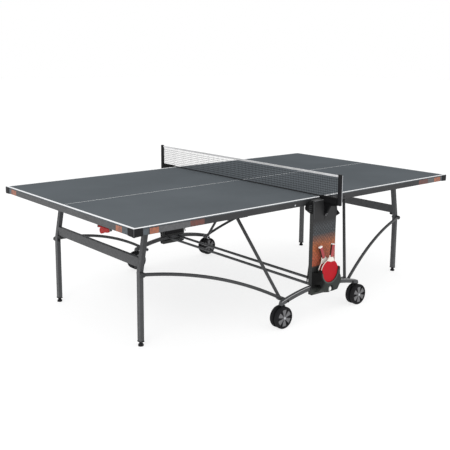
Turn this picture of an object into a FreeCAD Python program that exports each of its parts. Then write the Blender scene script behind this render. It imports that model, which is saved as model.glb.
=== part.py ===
import FreeCAD, Part
import math
import os

# Folding outdoor ping pong table. Millimetres, +Z up, floor at z = 0,
# X along the playing length, Y across it, net on the plane X = 0.

os.makedirs("parts", exist_ok=True)
doc = FreeCAD.newDocument("table")
V = FreeCAD.Vector

SIZES = {
    "play_height": 760,
    "half_length": 1370,
    "half_width": 762.5,
    "centre_gap": 1.5,
    "board_thick": 6,
    "apron_bottom": 719,
    "apron_thick": 20,
    "pin_x": 15,
    "pin_z": 740,
    "pin_radius": 5,
    "stowed_x": 95,
    "stowed_z": 230,
    "shoe_radius": 11.5,
    "gap_start": 764,
    "wall_y": 771,
    "beam_inner": 772,
    "beam_outer": 798,
    "beam_half": 352,
    "beam_top": 215,
    "beam_drop": 52,
    "beam_deep": 26,
    "tube_x": 46,
    "tube_z": 200,
    "tube_radius": 9,
    "column_half": 108,
    "column_top": 752,
    "column_low": 155,
    "column_face": 804,
    "pivot_x": 300,
    "pivot_z": 160,
    "pivot_radius": 8,
    "link_radius": 10,
    "link_top_x": 505,
    "link_top_z": 700,
    "link_top_y": 520,
    "leg_y": 482,
    "leg_wide": 30,
    "leg_deep": 25,
    "leg_pin_x": 1106,
    "leg_pin_z": 700,
    "knee_x": 1151,
    "knee_z": 430,
    "leg_bottom": 30,
    "bar_low": 453,
    "bar_high": 510,
    "arc_end_z": 421,
    "arc_end_y": 510,
    "wheel_radius": 68,
    "wheel_x": 345,
    "swivel_x": 330,
    "caster_y": 785,
    "post_y": 917,
    "net_top": 912.5,
    "net_low": 768,
    "band_wide": 13,
    "arm_low": 735,
    "blade_z": 302,
    "running_gap": 0.05,
}

# centre x, centre y and lean in degrees of each racket in the near pocket
RACKETS = {"front": (1, -852, 9), "rear": (6, -827, -22)}

sheet = doc.addObject("Spreadsheet::Sheet", "dims")
for row, (alias, value) in enumerate(SIZES.items(), start=1):
    sheet.set(f"A{row}", alias)
    sheet.set(f"B{row}", str(value))
    sheet.setAlias(f"B{row}", alias)
doc.recompute()

S = SIZES
nodes = {}
count = 0


def unique(stem):
    """A name of its own for each helper feature."""
    global count
    count += 1
    return f"{stem}_{count}"


def bind(feature, **rules):
    """Tie properties to the sheet; a leading number stays a plain number."""
    for prop, rule in rules.items():
        path = {"px": "Placement.Base.x", "py": "Placement.Base.y",
                "pz": "Placement.Base.z"}.get(prop, prop)
        feature.setExpression(path, str(rule))


def box(length, width, height, x, y, z):
    """A block with its low corner at x, y, z."""
    block = doc.addObject("Part::Box", unique("block"))
    bind(block, Length=length, Width=width, Height=height, px=x, py=y, pz=z)
    return block


def rod(radius, length, x, y, z, axis="Y"):
    """A round bar that starts at x, y, z and runs along axis."""
    bar = doc.addObject("Part::Cylinder", unique("rod"))
    turns = {"X": FreeCAD.Rotation(V(0, 1, 0), 90),
             "Y": FreeCAD.Rotation(V(1, 0, 0), -90),
             "Z": FreeCAD.Rotation()}
    bar.Placement = FreeCAD.Placement(V(), turns[axis])
    bind(bar, Radius=radius, Height=length, px=x, py=y, pz=z)
    return bar


def fuse(*shapes):
    """One solid from several that touch or overlap."""
    joined = doc.addObject("Part::MultiFuse", unique("fuse"))
    joined.Shapes = list(shapes)
    joined.Refine = True
    return joined


def cut(base, *tools):
    """base with each tool removed."""
    for tool in tools:
        trimmed = doc.addObject("Part::Cut", unique("cut"))
        trimmed.Base = base
        trimmed.Tool = tool
        base = trimmed
    return base


def mirror(source, axis):
    """A copy of source on the other side of the plane axis = 0."""
    copy = doc.addObject("Part::Mirroring", unique("mirror"))
    copy.Source = source
    copy.Normal = {"X": V(1, 0, 0), "Y": V(0, 1, 0)}[axis]
    copy.Base = V(0, 0, 0)
    return copy


def turned(source):
    """A copy of source turned half a turn about the vertical axis."""
    return mirror(mirror(source, "X"), "Y")


def group(*shapes):
    """Several separate solids kept as one node."""
    pack = doc.addObject("Part::Compound", unique("group"))
    pack.Links = list(shapes)
    return pack


def node(name, feature):
    """Give a finished feature its node name."""
    feature.Label = name
    nodes[name] = feature
    return feature


def outline(points):
    """Line and arc pieces through points; an arc step is (middle, end)."""
    pieces = []
    start = points[0]
    for step in points[1:] + [points[0]]:
        if isinstance(step[0], tuple):
            middle, end = step
            pieces.append(Part.Arc(V(*start, 0), V(*middle, 0), V(*end, 0)))
        else:
            end = step
            if math.dist(start, end) > 1e-6:
                pieces.append(Part.LineSegment(V(*start, 0), V(*end, 0)))
        start = end
    return pieces


def slab(points, thick, middle_y):
    """An upright plate: an X-Z outline padded to thick about y = middle_y."""
    body = doc.addObject("PartDesign::Body", unique("body"))
    sketch = body.newObject("Sketcher::SketchObject", unique("sketch"))
    plane = [f for f in body.Origin.OriginFeatures if f.Role == "XZ_Plane"][0]
    sketch.AttachmentSupport = [(plane, "")]
    sketch.MapMode = "FlatFace"
    for piece in outline(points):
        sketch.addGeometry(piece, False)
    doc.recompute()
    pad = body.newObject("PartDesign::Pad", unique("pad"))
    pad.Profile = sketch
    pad.Midplane = True
    bind(pad, Length=thick)
    body.Tip = pad
    bind(body, py=middle_y)
    doc.recompute()
    return body


def solid(shape):
    """A feature for a swept or turned shape."""
    feature = doc.addObject("Part::Feature", unique("shape"))
    feature.Shape = shape
    return feature


# ---- half tops ---------------------------------------------------------

def board():
    """Thin resin board of one half."""
    return box("dims.half_length - dims.centre_gap", "2 * dims.half_width", "dims.board_thick",
               "dims.centre_gap", "-dims.half_width", "dims.play_height - dims.board_thick")


def side_apron():
    """Long edge rail on the far side, with the fold pin at its inner end."""
    rail = box("dims.half_length - dims.centre_gap", "dims.apron_thick",
               "dims.play_height - dims.board_thick - dims.apron_bottom",
               "dims.centre_gap", "dims.half_width - dims.apron_thick", "dims.apron_bottom")
    pin = rod("dims.pin_radius", 12, "dims.pin_x", "dims.half_width - 4", "dims.pin_z")
    bolt = rod(6, 3.5, 224, "dims.half_width - 2", 733)
    return fuse(rail, pin, bolt)


def end_apron():
    """Short edge rail with two lugs and the pin of the release lever."""
    deep = "dims.play_height - dims.board_thick - dims.apron_bottom"
    rail = box("dims.apron_thick", "2 * (dims.half_width - dims.apron_thick)", deep,
               "dims.half_length - dims.apron_thick", "-(dims.half_width - dims.apron_thick)",
               "dims.apron_bottom")
    lugs = [box(14, 6, 20, 1349, y, 701) for y in (396, 518)]
    pin = rod(3, 128, 1356, 396, 708)
    return fuse(rail, *lugs, pin)


def inner_rail():
    """Cross rail under the board beside the net."""
    return box(20, "2 * (dims.half_width - dims.apron_thick)", 24,
               24, "-(dims.half_width - dims.apron_thick)", 730)


def corner_guard():
    """Plastic guard wrapped round an outer corner."""
    long_side = box(54, 2, 46, 1318, "dims.half_width", 714)
    short_side = box(2, 54.5, 46, "dims.half_length", 710, 714)
    return fuse(long_side, short_side)


def leg_bracket():
    """Fork under the board that holds a leg's upper pin."""
    plates = [box(44, 5, 70, 1084, y, 684) for y in ("dims.leg_y - 21", "dims.leg_y + 16")]
    pin = rod(6, 42, "dims.leg_pin_x", "dims.leg_y - 21", "dims.leg_pin_z")
    base = box(44, 42, 4, 1084, "dims.leg_y - 21", 750)
    return fuse(*plates, pin, base)


def link_hanger():
    """Slotted plate under the board in which the straight link's roller runs."""
    plate = box(168, 5, 116, 370, 500, 638)
    window = box(150, 9, 84, 378, 498, 658)
    foot = box(168, 22, 4, 370, 500, 750)
    return fuse(cut(plate, window), foot)


# ---- legs --------------------------------------------------------------

def leg_tube():
    """Bent leg: upright below the knee, leaning inward above it."""
    half = S["leg_deep"] / 2
    rise = S["leg_pin_z"] - S["knee_z"]
    lean = S["leg_pin_x"] - S["knee_x"]
    long = math.hypot(rise, lean)
    ux, uz = lean / long, rise / long
    top_x = S["leg_pin_x"] + ux * 13
    top_z = S["leg_pin_z"] + uz * 13
    points = [
        (S["knee_x"] - half, S["leg_bottom"]),
        (S["knee_x"] + half, S["leg_bottom"]),
        (S["knee_x"] + half, S["knee_z"] + 1),
        (top_x + uz * half, top_z - ux * half),
        (top_x - uz * half, top_z + ux * half),
        (S["knee_x"] - half, S["knee_z"] - 1),
    ]
    tube = slab(points, "dims.leg_wide", "dims.leg_y")
    pin_bore = rod("6 + dims.running_gap", 60, "dims.leg_pin_x", "dims.leg_y - 30",
                   "dims.leg_pin_z")
    foot_bore = rod("6 + dims.running_gap", 90, "dims.knee_x", "dims.leg_y", 20, "Z")
    return cut(tube, pin_bore, foot_bore)


def leg_cap():
    """Plastic plug under a leg with the foot's bore."""
    plug = box(28, 33, 6, "dims.knee_x - 14", "dims.leg_y - 16.5", "dims.leg_bottom - 6")
    return cut(plug, rod("6 + dims.running_gap", 20, "dims.knee_x", "dims.leg_y", 15, "Z"))


def crossbar():
    """Broad flat bar between the two legs of a half."""
    return box(22, "2 * dims.leg_y - dims.leg_wide", "dims.bar_high - dims.bar_low",
               "dims.knee_x - 20", "-(dims.leg_y - dims.leg_wide / 2)", "dims.bar_low")


def foot(side_x, side_y):
    """Levelling foot: pad, cone, neck and stem."""
    profile = [(0, 0), (16, 0), (16, 9), (10, 16), (10, 23.7), (6, 23.7), (6, 95), (0, 95)]
    wire = Part.makePolygon([V(r, 0, z) for r, z in profile + [profile[0]]])
    turned_shape = Part.Face(wire).revolve(V(), V(0, 0, 1), 360)
    pad = solid(turned_shape)
    bind(pad, px=f"{side_x} * dims.knee_x", py=f"{side_y} * dims.leg_y", pz=0)
    return pad


# ---- links -------------------------------------------------------------

def straight_link():
    """Straight tube from the beam's pivot to the slotted hanger."""
    start = V(S["pivot_x"], 726, S["pivot_z"])
    end = V(S["link_top_x"], S["link_top_y"], S["link_top_z"])
    tube = solid(Part.makeCylinder(S["link_radius"], start.distanceToPoint(end),
                                   start, end.sub(start)))
    eye = rod(14, 18, "dims.pivot_x", 717, "dims.pivot_z")
    roller = rod(8, 33, "dims.link_top_x", 498.5, "dims.link_top_z")
    cap = rod(11, 20, "dims.link_top_x", 512, "dims.link_top_z")
    bore = rod("dims.pivot_radius + dims.running_gap", 60, "dims.pivot_x", 700, "dims.pivot_z")
    return cut(fuse(tube, eye, roller, cap), bore)


def curved_link():
    """Bowed tube from the beam's pivot to the outer side of a leg's knee."""
    start = V(S["pivot_x"], 750, S["pivot_z"])
    middle = V(700, 637, 338)
    end = V(S["knee_x"], S["arc_end_y"], S["arc_end_z"])
    spine = Part.Wire(Part.Arc(start, middle, end).toShape())
    tangent = spine.Edges[0].tangentAt(spine.Edges[0].FirstParameter)
    ring = Part.Wire(Part.makeCircle(S["link_radius"], start, tangent))
    tube = solid(spine.makePipeShell([ring], True, True))
    eye = rod(14, 18, "dims.pivot_x", 741, "dims.pivot_z")
    cap = rod(14, 20, "dims.knee_x", "dims.arc_end_y - 10", "dims.arc_end_z")
    bore = rod("dims.pivot_radius + dims.running_gap", 60, "dims.pivot_x", 725, "dims.pivot_z")
    return cut(fuse(tube, eye, cap), bore)


def guide_shoe():
    """Round shoe on a half's fold pin, running in the column's track."""
    disc = rod("dims.shoe_radius", 6.6, "dims.pin_x", "dims.gap_start", "dims.pin_z")
    bore = rod("dims.pin_radius + dims.running_gap", 20, "dims.pin_x", 758, "dims.pin_z")
    return cut(disc, bore)


def release_lever():
    """Pull lever under the end rail: a barrel on the pin and a long and a short lobe."""
    barrel = rod(6, 115, 1356, 402.5, 708)
    long_lobe = box(5, 50, 36, 1353.5, 405, 670)
    short_lobe = box(5, 35, 22, 1353.5, 455, 684)
    lip = box(12, 50, 5, 1342, 405, 670)
    return cut(fuse(barrel, long_lobe, short_lobe, lip), rod(3.05, 200, 1356, 360, 708))


# ---- carriage ----------------------------------------------------------

def side_beam():
    """Arched beam along one side, with a bore at each end for a caster."""
    end_top = S["beam_top"] - S["beam_drop"]
    half = S["beam_half"]
    end_low = end_top - S["beam_deep"]
    points = [
        (-half, end_low),
        ((0, S["beam_top"] - S["beam_deep"]), (half, end_low)),
        (half + 6, end_low + 6),
        (half, end_top),
        ((0, S["beam_top"]), (-half, end_top)),
        (-half - 6, end_low + 6),
    ]
    bar = slab(points, "dims.beam_outer - dims.beam_inner",
               "(dims.beam_outer + dims.beam_inner) / 2")
    bores = [rod("6 + dims.running_gap", 80, f"{s} * dims.swivel_x", "dims.caster_y", 110, "Z")
             for s in (-1, 1)]
    return cut(bar, *bores)


def cross_tube():
    """Round tube that ties the two side beams together."""
    return rod("dims.tube_radius", "2 * dims.beam_inner", "dims.tube_x", "-dims.beam_inner",
               "dims.tube_z")


def link_pivot():
    """Headed pin on the inner face of a beam for both links of one corner."""
    pin = rod("dims.pivot_radius", "dims.beam_inner - 704", "dims.pivot_x", 704, "dims.pivot_z")
    head = rod(13, 5, "dims.pivot_x", 704, "dims.pivot_z")
    collar = rod(12, 8, "dims.pivot_x", "dims.beam_inner - 8", "dims.pivot_z")
    return fuse(pin, head, collar)


def column():
    """Tall moulded side column: waisted face, housing behind, notch at the top."""
    half = S["column_half"]
    top, low = S["column_top"], S["column_low"]
    face = slab([(-half + 6, low), (half - 6, low), (half, low + 12),
                 ((half - 5, 480), (half, top - 8)), (half - 8, top),
                 (-half + 8, top), (-half, top - 8), ((-half + 5, 480), (-half, low + 12))],
                6, "dims.column_face - 3")
    housing = box("2 * dims.column_half - 14", "dims.column_face - 6 - dims.wall_y",
                  "dims.column_top - 216", "7 - dims.column_half", "dims.wall_y", 216)
    hollow = box("2 * dims.column_half - 22", "dims.column_face - 14 - dims.wall_y",
                 "dims.column_top - 219", "11 - dims.column_half", "dims.wall_y + 4", 215)
    base = box("2 * dims.column_half - 14", 24, 25, "7 - dims.column_half", 774, "dims.column_low")
    notch = slab([(-14.5, top + 1), (-14.5, 728), (-7.4, 700), (-7.4, 643), (7.4, 643), (7.4, 700),
                  (14.5, 728), (14.5, top + 1)], 44, "dims.column_face - 16")
    return cut(fuse(face, cut(housing, hollow), base), notch)


def track():
    """Wedge and two bars that leave a groove for each guide shoe."""
    run = S["stowed_x"] - S["pin_x"]
    drop = S["stowed_z"] - S["pin_z"]
    long = math.hypot(run, drop)
    nx, nz = -drop / long, run / long
    inner = S["shoe_radius"] + 0.3
    outer = inner + 4

    def beside(offset, low):
        x, z = (S["stowed_x"], S["stowed_z"]) if low else (S["pin_x"], S["pin_z"])
        return (x + nx * offset, z + nz * offset)

    thick = "dims.wall_y - dims.gap_start"
    middle = "(dims.wall_y + dims.gap_start) / 2"
    top_x, top_z = beside(-inner, False)
    low_x, low_z = beside(-inner, True)
    wedge = slab([(-low_x, low_z), (low_x, low_z), (top_x, top_z), (-top_x, top_z)],
                 thick, middle)
    bar = slab([beside(inner, True), beside(outer, True), beside(outer, False),
                beside(inner, False)], thick, middle)
    return [wedge, bar, mirror(bar, "X")]


def latch_block():
    """Rounded housing of the safety latch beside the column's top."""
    return slab([(102, 668), (121, 680), (143, 696), ((148, 708), (143, 722)), (118, 745),
                 (102, 750)], 25, 784.5)


def latch_hook():
    """Pointed catch of the other half's safety latch, lower on the column."""
    return slab([(-102, 740), (-116, 700), (-122, 667), (-138, 652), (-148, 640), (-125, 632),
                 (-102, 626)], 25, 784.5)


def pocket():
    """Racket cradle: a funnel from the column to a ring lip, with a horn and a ball bore."""
    z = S["blade_z"] + 2
    column_end = [(-104, 220), (-104, 155), (0, 152), (84, 152), (100, 172), (102, 230),
                  (100, 260), (96, 290), (90, z), (-104, z)]
    outer_end = [(-80, 255), (-40, 226), (-14, 172), (71, 176), (97, 212), (107, 236),
                 (98, 262), (86, 284), (80, z), (-84, z)]
    wires = [Part.makePolygon([V(px, y, pz) for px, pz in ring + [ring[0]]])
             for y, ring in ((804, column_end), (862, outer_end))]
    funnel = solid(Part.makeLoft(wires, True, True))
    front_x, rear_x = RACKETS["front"][0], RACKETS["rear"][0]
    cups = [rod(78, 48, rear_x, 790, z), rod(78, 20, front_x, 838, z)]
    mouth = rod(69, 12, front_x, 856, z)
    above = box(220, 70, 100, -110, 800, z + 18)
    ring = cut(rod(88, 24, front_x, 840, z), above)
    horn = slab([(84, 270), (92, 270), (89, 321), (82, 322)], 22, 851)
    lip_clear = box(150, 30, 60, -74, 857, z)
    side_hollow = box(50, 34, 50, -110, 812, 178)
    ball_bore = rod(22.5, 78, 12, 808, 190)
    return cut(fuse(funnel, ring, horn), *cups, mouth, lip_clear, side_hollow, ball_bore)


# ---- casters -----------------------------------------------------------

def caster_fork(side_x, side_y):
    """Swivel block between the twin discs, with stem and axle."""
    swivel, wheel = S["swivel_x"] * side_x, S["wheel_x"] * side_x

    def at(x, z):
        return (swivel + side_x * x, z)

    block = slab([at(-14, 122), at(-14, 136), at(14, 136), at(22, 99), at(26, 68), at(15, 57),
                  at(4, 65), at(-2, 99)], 11, f"{side_y} * dims.caster_y")
    plate = rod(11, 1.6, swivel, f"{side_y} * dims.caster_y", 135.4, "Z")
    stem = rod(6, 25, swivel, f"{side_y} * dims.caster_y", 133, "Z")
    axle = rod(5, 64, wheel, f"{side_y} * dims.caster_y - 32", "dims.wheel_radius")
    return fuse(block, plate, stem, axle)


def caster_wheel(side_x, side_y):
    """Pair of discs with a rounded tread and a spoked recess outside."""
    radius = S["wheel_radius"]
    profile = [(5.05, 6.2), (radius - 5, 6.2), (radius, 11), (radius, 27), (radius - 5, 33),
               (radius - 15, 33), (radius - 17, 28), (14, 28), (14, 34.5), (5.05, 34.5)]
    wire = Part.makePolygon([V(r, w, 0) for r, w in profile + [profile[0]]])
    disc = Part.Face(wire).revolve(V(), V(0, 1, 0), 360)
    spokes = []
    for step in range(6):
        spoke = Part.makeBox(radius - 27, 4.5, 11, V(12, 27.5, -5.5))
        spoke.rotate(V(), V(0, 1, 0), 60 * step)
        spokes.append(spoke)
    outer = disc.fuse(spokes).removeSplitter()
    pair = [outer, outer.mirror(V(), V(0, 1, 0))]
    feature = solid(Part.makeCompound(pair))
    bind(feature, px=f"{side_x} * dims.wheel_x", py=f"{side_y} * dims.caster_y", pz=radius)
    return feature


# ---- net ---------------------------------------------------------------

def net_arm():
    """Arm from the column's top to the net post, with a gusset and two cheeks beside the board's edge."""
    arm = box(28, "dims.post_y - 13 - 773", 22, -14, 773, "dims.arm_low")
    cheeks = []
    for x in (-12, 4):
        cheeks.append(box(8, "dims.post_y - 13 - 773", 15, x, 773, 756))
        cheeks.append(box(8, 18, 10.2, x, 763, "dims.play_height + 0.8"))
    end = S["post_y"] - 13
    side = [(786, 740), (786, 647), (808, 646), (848, 715), (end, 724), (end, 740)]
    gusset = Part.Face(Part.makePolygon([V(-7, y, z) for y, z in side + [side[0]]]))
    return fuse(arm, *cheeks, solid(gusset.extrude(V(14, 0, 0))))


def net_post():
    """Upright post at the net's end."""
    return box(16, 26, "dims.net_top + 5 - 726", -8, "dims.post_y - 13", 726)


# ---- rackets and ball --------------------------------------------------


def racket_blade(place):
    """Round blade with its rubbers."""
    x, y, _ = RACKETS[place]
    return rod(75, 10, x, y - 5, "dims.blade_z")


def racket_handle(place):
    """Leaning handle that ends against the blade's rim."""
    x, y, lean = RACKETS[place]
    grip = doc.addObject("Part::Box", unique("grip"))
    grip.Length, grip.Width, grip.Height = 26, 21, 112
    turn = FreeCAD.Rotation(V(0, 1, 0), lean)
    grip.Placement = FreeCAD.Placement(V(x, y, S["blade_z"]) + turn.multVec(V(-13, -10.5, 62)), turn)
    return cut(grip, rod(75.1, 60, x, y - 30, "dims.blade_z"))


# ---- nodes -------------------------------------------------------------

def build_half(side):
    """All nodes that one half carries; the left one is the right one turned."""
    place = (lambda f: f) if side == "right" else turned

    def both(feature):
        return group(place(feature), place(mirror(feature, "Y")))

    node(f"board_{side}", place(board()))
    node(f"side_aprons_{side}", both(side_apron()))
    node(f"end_apron_{side}", place(end_apron()))
    node(f"inner_rail_{side}", place(inner_rail()))
    node(f"corner_guards_{side}", both(corner_guard()))
    node(f"leg_brackets_{side}", both(leg_bracket()))
    node(f"link_hangers_{side}", both(link_hanger()))
    node(f"release_lever_{side}", place(release_lever()))
    node(f"leg_tubes_{side}", both(leg_tube()))
    node(f"leg_caps_{side}", both(leg_cap()))
    node(f"crossbar_{side}", place(crossbar()))
    node(f"straight_links_{side}", both(straight_link()))
    node(f"curved_links_{side}", both(curved_link()))
    node(f"guide_shoes_{side}", both(guide_shoe()))


def build_carriage():
    """Everything that stays with the wheeled centre frame."""
    beam = side_beam()
    node("side_beams", group(beam, mirror(beam, "Y")))
    tube = cross_tube()
    node("cross_tubes", group(tube, mirror(tube, "X")))
    pivot = link_pivot()
    far = [pivot, mirror(pivot, "X")]
    node("link_pivots", group(*far, *[mirror(p, "Y") for p in far]))
    tall = column()
    node("column_far", tall)
    node("column_near", mirror(tall, "Y"))
    rails = track()
    node("guide_tracks", group(*rails, *[mirror(r, "Y") for r in rails]))
    block, hook = latch_block(), latch_hook()
    node("latch_blocks", group(block, hook, turned(block), turned(hook)))
    cradle = pocket()
    node("pocket_far", cradle)
    node("pocket_near", mirror(cradle, "Y"))
    arm = net_arm()
    node("net_arms", group(arm, mirror(arm, "Y")))
    post = net_post()
    node("net_posts", group(post, mirror(post, "Y")))


def build_net():
    """Cloth, top band and bottom cord."""
    half = "dims.post_y - 13"
    node("net_cloth", box(1.2, f"2 * ({half})", "dims.net_top - dims.band_wide - dims.net_low",
                          -0.6, f"-({half})", "dims.net_low"))
    node("net_band", box(3, f"2 * ({half})", "dims.band_wide", -1.5, f"-({half})",
                         "dims.net_top - dims.band_wide"))
    node("net_cord", rod(2.5, f"2 * ({half})", 0, f"-({half})", "dims.net_low - 2.5"))


CORNERS = {"near_left": (-1, -1), "near_right": (1, -1), "far_left": (-1, 1), "far_right": (1, 1)}

build_half("right")
build_half("left")
build_carriage()
build_net()
for corner, (sx, sy) in CORNERS.items():
    node(f"foot_{corner}", foot(sx, sy))
    node(f"fork_{corner}", caster_fork(sx, sy))
    node(f"wheel_{corner}", caster_wheel(sx, sy))
for place in RACKETS:
    node(f"racket_{place}_blade", racket_blade(place))
    node(f"racket_{place}_handle", racket_handle(place))
ball = doc.addObject("Part::Sphere", "ball_shape")
ball.Radius = 20
ball.Placement.Base = V(12, -838, 187.6)
node("ball", ball)

doc.recompute()

for feature in doc.Objects:
    if "Invalid" in feature.State or "Error" in feature.State:
        raise RuntimeError(f"{feature.Label} has state {feature.State}")
for name, feature in nodes.items():
    shape = feature.Shape
    if shape.isNull() or not shape.isValid() or not shape.Solids:
        raise RuntimeError(f"{name} is not a valid solid")
    shape.exportStep(f"parts/{name}.step")
print(len(nodes), "nodes written")
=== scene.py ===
import math

import bmesh
import bpy
from mathutils import Matrix, Vector


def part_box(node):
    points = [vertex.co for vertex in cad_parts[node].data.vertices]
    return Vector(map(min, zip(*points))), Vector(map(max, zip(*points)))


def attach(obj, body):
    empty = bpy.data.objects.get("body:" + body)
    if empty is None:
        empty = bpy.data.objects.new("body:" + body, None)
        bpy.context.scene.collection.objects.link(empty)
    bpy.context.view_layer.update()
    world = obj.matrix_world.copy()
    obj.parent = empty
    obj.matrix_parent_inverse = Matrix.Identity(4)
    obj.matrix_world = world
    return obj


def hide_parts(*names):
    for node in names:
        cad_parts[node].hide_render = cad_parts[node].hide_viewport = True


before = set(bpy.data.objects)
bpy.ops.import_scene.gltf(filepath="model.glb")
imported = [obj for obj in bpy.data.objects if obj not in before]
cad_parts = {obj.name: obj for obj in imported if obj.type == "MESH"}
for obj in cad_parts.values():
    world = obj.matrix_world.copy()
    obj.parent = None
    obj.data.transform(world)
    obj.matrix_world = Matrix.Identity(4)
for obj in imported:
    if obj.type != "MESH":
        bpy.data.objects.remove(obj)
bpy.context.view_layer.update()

# Folding ping pong table, in metres: X along the playing length, Y across it,
# Z up. The halves are one design turned half a turn about the vertical axis.

board_low, board_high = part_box("board_right")
net_low, net_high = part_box("net_cloth")
band_low, band_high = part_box("net_band")
column_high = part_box("column_far")[1]

HALF_LENGTH = board_high.x
HALF_WIDTH = board_high.y
TOP = board_high.z
GAP = board_low.x
RAIL_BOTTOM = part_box("side_aprons_right")[0].z

# Pivots in an X-Z plane: the leg's hinge and knee, and the links' lower pivot.
HINGE_X, HINGE_Z = 1.106, 0.700
KNEE_X, KNEE_Z = 1.151, 0.421
PIVOT_X, PIVOT_Z = 0.300, 0.160

SIDES = {"right": 1, "left": -1}
CORNERS = {"near_left": (-1, -1), "near_right": (1, -1), "far_left": (-1, 1), "far_right": (1, 1)}


# ---- mesh helpers ----------------------------------------------------------

def piece(name, bm, body, paint, sharp=35):
    """Turn a mesh in the making into a named piece that rides on a body."""
    bmesh.ops.recalc_face_normals(bm, faces=bm.faces)
    mesh = bpy.data.meshes.new(name)
    bm.to_mesh(mesh)
    bm.free()
    made = bpy.data.objects.new(name, mesh)
    bpy.context.collection.objects.link(made)
    for one in paint if isinstance(paint, list) else [paint]:
        mesh.materials.append(one)
    mesh.shade_smooth()
    mesh.set_sharp_from_angle(angle=math.radians(sharp))
    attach(made, body)
    return made


def add_block(bm, low, high, rounding=0.0, steps=2):
    """A block between two corners, with rounded edges."""
    low, high = Vector(low), Vector(high)
    verts = bmesh.ops.create_cube(bm, size=1)["verts"]
    bmesh.ops.scale(bm, vec=high - low, verts=verts)
    bmesh.ops.translate(bm, vec=(high + low) / 2, verts=verts)
    if rounding:
        edges = list({e for v in verts for e in v.link_edges})
        bmesh.ops.bevel(bm, geom=edges, offset=rounding, segments=steps, profile=0.5, affect="EDGES")


def add_rod(bm, start, end, radius, steps=20, end_radius=None):
    """A round bar, or a cone, between two points."""
    start, end = Vector(start), Vector(end)
    turn = (end - start).to_track_quat("Z", "Y").to_matrix().to_4x4()
    place = Matrix.Translation((start + end) / 2) @ turn
    bmesh.ops.create_cone(bm, cap_ends=True, segments=steps, radius1=radius,
                          radius2=radius if end_radius is None else end_radius,
                          depth=(end - start).length, matrix=place)


def add_turned(bm, profile, centre, axis, steps=48):
    """A closed profile of (radius, along) turned about an axis through centre."""
    centre, axis = Vector(centre), Vector(axis).normalized()
    across = axis.orthogonal().normalized()
    other = axis.cross(across)
    loops = []
    for step in range(steps):
        angle = 2 * math.pi * step / steps
        out = across * math.cos(angle) + other * math.sin(angle)
        loops.append([bm.verts.new(centre + out * r + axis * a) for r, a in profile])
    for step in range(steps):
        here, there = loops[step], loops[(step + 1) % steps]
        for k in range(len(profile)):
            nxt = (k + 1) % len(profile)
            bm.faces.new((here[k], here[nxt], there[nxt], there[k]))


def add_plate(bm, outline, near, far, place):
    """A flat outline given thickness; place turns (u, v, w) into a point."""
    front = [bm.verts.new(place(u, v, near)) for u, v in outline]
    back = [bm.verts.new(place(u, v, far)) for u, v in outline]
    bm.faces.new(front[::-1])
    bm.faces.new(back)
    for k in range(len(outline)):
        nxt = (k + 1) % len(outline)
        bm.faces.new((front[k], front[nxt], back[nxt], back[k]))


def eased(outline, rounds=2):
    """An outline with its corners cut again and again until they are round."""
    for _ in range(rounds):
        cut = []
        for k, here in enumerate(outline):
            there = outline[(k + 1) % len(outline)]
            cut.append((here[0] * 0.75 + there[0] * 0.25, here[1] * 0.75 + there[1] * 0.25))
            cut.append((here[0] * 0.25 + there[0] * 0.75, here[1] * 0.25 + there[1] * 0.75))
        outline = cut
    return outline


def arc(centre, radius, start, end, steps=12):
    """Points on an arc, in degrees."""
    angles = [math.radians(start + (end - start) * k / steps) for k in range(steps + 1)]
    return [(centre[0] + radius * math.cos(a), centre[1] + radius * math.sin(a)) for a in angles]


# ---- materials -------------------------------------------------------------

def shader(name):
    """A new material with its node tree, shader and object coordinates."""
    paint = bpy.data.materials.new(name)
    paint.use_nodes = True
    tree = paint.node_tree
    bsdf = tree.nodes["Principled BSDF"]
    where = tree.nodes.new("ShaderNodeTexCoord").outputs["Object"]
    return paint, tree, bsdf, where


def noise(tree, where, scale, detail=3.0, rough=0.55):
    """Noise with so many features to the metre."""
    node = tree.nodes.new("ShaderNodeTexNoise")
    node.inputs["Scale"].default_value = scale
    node.inputs["Detail"].default_value = detail
    node.inputs["Roughness"].default_value = rough
    tree.links.new(where, node.inputs["Vector"])
    return node.outputs["Fac"]


def spread(tree, value, low, high, to_low, to_high):
    """Map a value from one range onto another, and clamp it."""
    node = tree.nodes.new("ShaderNodeMapRange")
    tree.links.new(value, node.inputs["Value"])
    for label, number in (("From Min", low), ("From Max", high), ("To Min", to_low), ("To Max", to_high)):
        node.inputs[label].default_value = number
    return node.outputs["Result"]


def blend(tree, factor, first, second, mode="MIX"):
    """Mix two colours; each is a tone or another node's output."""
    node = tree.nodes.new("ShaderNodeMix")
    node.data_type = "RGBA"
    node.blend_type = mode
    if isinstance(factor, float):
        node.inputs[0].default_value = factor
    else:
        tree.links.new(factor, node.inputs[0])
    for socket, tone in ((node.inputs[6], first), (node.inputs[7], second)):
        if isinstance(tone, tuple):
            socket.default_value = (*tone, 1)
        else:
            tree.links.new(tone, socket)
    return node.outputs[2]


def relief(tree, bsdf, height, strength, distance):
    """Raise the surface by a height value."""
    node = tree.nodes.new("ShaderNodeBump")
    node.inputs["Strength"].default_value = strength
    node.inputs["Distance"].default_value = distance
    tree.links.new(height, node.inputs["Height"])
    tree.links.new(node.outputs["Normal"], bsdf.inputs["Normal"])


def lighter(tone, by):
    """A tone made lighter, or darker where by is under one."""
    return tuple(min(1.0, c * by) for c in tone)


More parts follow.
